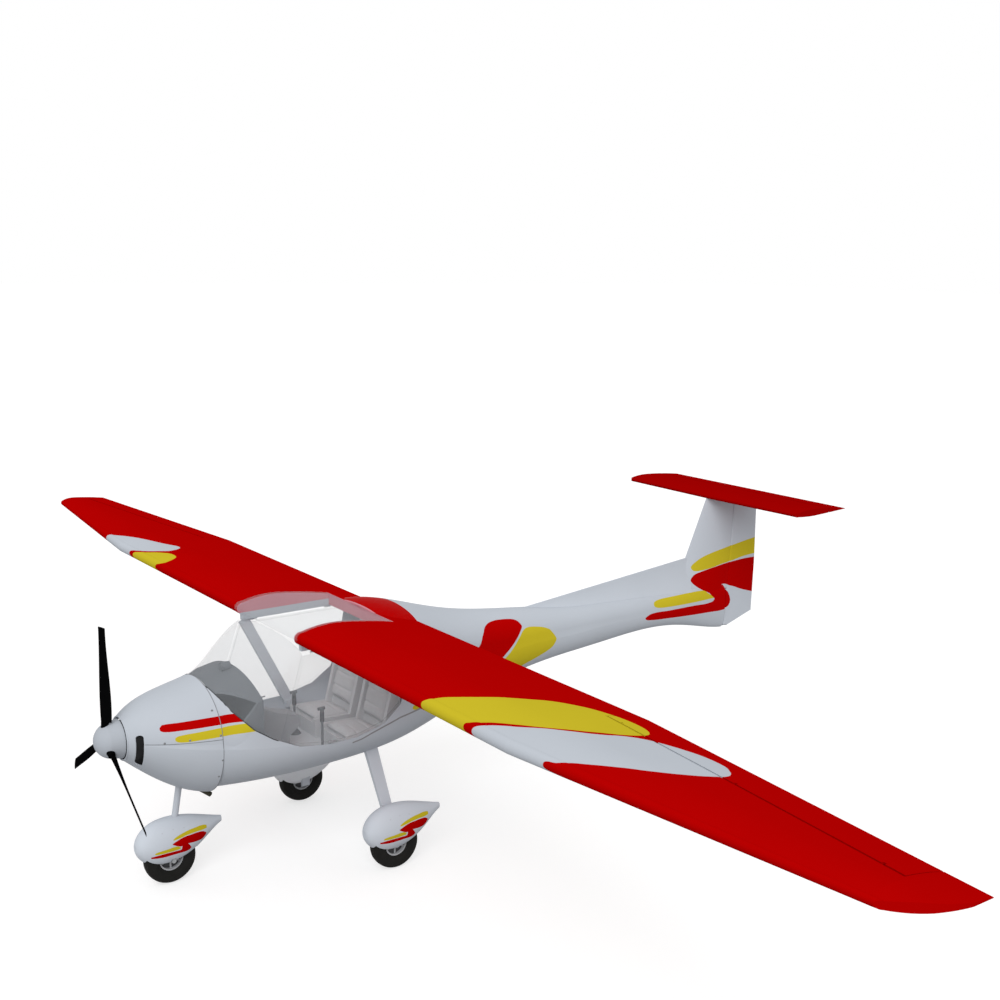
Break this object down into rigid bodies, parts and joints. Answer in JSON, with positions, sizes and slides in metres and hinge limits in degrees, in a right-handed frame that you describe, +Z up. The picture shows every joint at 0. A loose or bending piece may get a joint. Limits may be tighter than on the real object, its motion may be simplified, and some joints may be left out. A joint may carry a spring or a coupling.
{
  "type": "two-seat high-wing microlight aircraft",
  "caption": "High-wing two-seat microlight with a pod-and-boom body, T-tail, tractor propeller, clear cabin doors and tricycle gear in wheel fairings.",
  "frame": {"origin": "on the ground in the plane of symmetry, half-way along the overall length", "axes": "+Z up, nose towards -Y, wing span along X with the pilot's left side at +X"},
  "size_m": [10.8, 6.1, 2.2052],
  "materials": {
    "white_gelcoat": "gloss",
    "red_paint": "gloss",
    "wing_red": "gloss",
    "clear_panel": "gloss",
    "black_blade": "satin",
    "white_spinner": "gloss",
    "steel": "satin",
    "white_steel": "gloss",
    "alloy": "satin",
    "tyre": "matte",
    "exhaust": "matte",
    "engine_alloy": "satin",
    "grey_panel": "matte",
    "cabin_trim": "matte",
    "seat_trim": "matte",
    "stick_grip": "matte"
  },
  "bodies": {
    "airframe": {"cabin_floor": "cabin_trim", "cabin_pillar_right": "white_steel", "center_console": "grey_panel", "control_stick_left": "stick_grip", "control_stick_right": "stick_grip", "cowl_lower": "white_gelcoat", "cowl_upper": "white_gelcoat", "engine": "engine_alloy", "exhaust_pipe": "exhaust", "fin": "white_gelcoat", "firewall": "alloy", "fuselage_shell": "white_gelcoat", "instrument_panel": "grey_panel", "main_leg_left": "white_steel", "main_leg_right": "white_steel", "main_pant_left": "white_gelcoat", "main_pant_right": "white_gelcoat", "nose_leg_bracket": "steel", "rear_bulkhead": "cabin_trim", "roof_window": "clear_panel", "seat_left": "seat_trim", "seat_right": "seat_trim", "tailplane": "red_paint", "windscreen": "clear_panel", "wing_center": "wing_red", "wing_left": "wing_red", "wing_right": "wing_red"},
    "propeller": {"spinner": "white_spinner", "propeller_hub": "alloy", "propeller_blade_one": "black_blade", "propeller_blade_two": "black_blade", "propeller_blade_three": "black_blade"},
    "nose_gear": {"nose_leg": "white_steel", "nose_fork": "steel", "nose_pant": "white_gelcoat"},
    "nose_wheel": {"nose_rim": "alloy", "nose_tyre": "tyre"},
    "main_wheel_left": {"main_rim_left": "alloy", "main_tyre_left": "tyre"},
    "main_wheel_right": {"main_rim_right": "alloy", "main_tyre_right": "tyre"},
    "door_left_body": {"door_left": "white_gelcoat", "door_glass_left": "clear_panel"},
    "door_right_body": {"door_right": "white_gelcoat", "door_glass_right": "clear_panel"},
    "aileron_left_body": {"aileron_left": "wing_red"},
    "aileron_right_body": {"aileron_right": "wing_red"},
    "elevator_body": {"elevator": "red_paint"},
    "rudder_body": {"rudder": "white_gelcoat"}
  },
  "joints": [
    {"name": "propeller_spin", "type": "hinge", "parent": "airframe", "child": "propeller", "pos_m": [0, -2.974, 1.094], "axis": [0, -1, 0], "continuous": true},
    {"name": "nose_steering", "type": "hinge", "parent": "airframe", "child": "nose_gear", "pos_m": [0, -2.58, 0.175], "axis": [0, 0.1657, 0.9862], "range_deg": [-20, 20]},
    {"name": "nose_wheel_spin", "type": "hinge", "parent": "nose_gear", "child": "nose_wheel", "pos_m": [0, -2.58, 0.175], "axis": [1, 0, 0], "continuous": true},
    {"name": "left_wheel_spin", "type": "hinge", "parent": "airframe", "child": "main_wheel_left", "pos_m": [0.714, -1.238, 0.175], "axis": [1, 0, 0], "continuous": true},
    {"name": "right_wheel_spin", "type": "hinge", "parent": "airframe", "child": "main_wheel_right", "pos_m": [-0.714, -1.238, 0.175], "axis": [1, 0, 0], "continuous": true},
    {"name": "left_door_hinge", "type": "hinge", "parent": "airframe", "child": "door_left_body", "pos_m": [0.492, -1.4, 1.603], "axis": [0, -1, 0], "range_deg": [0, 75]},
    {"name": "right_door_hinge", "type": "hinge", "parent": "airframe", "child": "door_right_body", "pos_m": [-0.492, -1.4, 1.603], "axis": [0, 1, 0], "range_deg": [0, 75]},
    {"name": "left_aileron_hinge", "type": "hinge", "parent": "airframe", "child": "aileron_left_body", "pos_m": [2.84, -1.0875, 1.65633], "axis": [0.9933, -0.1148, 0.0157], "range_deg": [-18, 18]},
    {"name": "right_aileron_hinge", "type": "hinge", "parent": "airframe", "child": "aileron_right_body", "pos_m": [-2.84, -1.0875, 1.65633], "axis": [-0.9933, -0.1148, 0.0157], "range_deg": [-18, 18]},
    {"name": "elevator_hinge", "type": "hinge", "parent": "airframe", "child": "elevator_body", "pos_m": [0, 2.834, 2.1698], "axis": [1, 0, 0], "range_deg": [-20, 25]},
    {"name": "rudder_hinge", "type": "hinge", "parent": "airframe", "child": "rudder_body", "pos_m": [0, 2.67262, 0.938], "axis": [0, 0.0776, 0.997], "range_deg": [-25, 25]}
  ],
  "couplings": [
    {"joint": "right_aileron_hinge", "follows": "left_aileron_hinge", "ratio": 1}
  ]
}
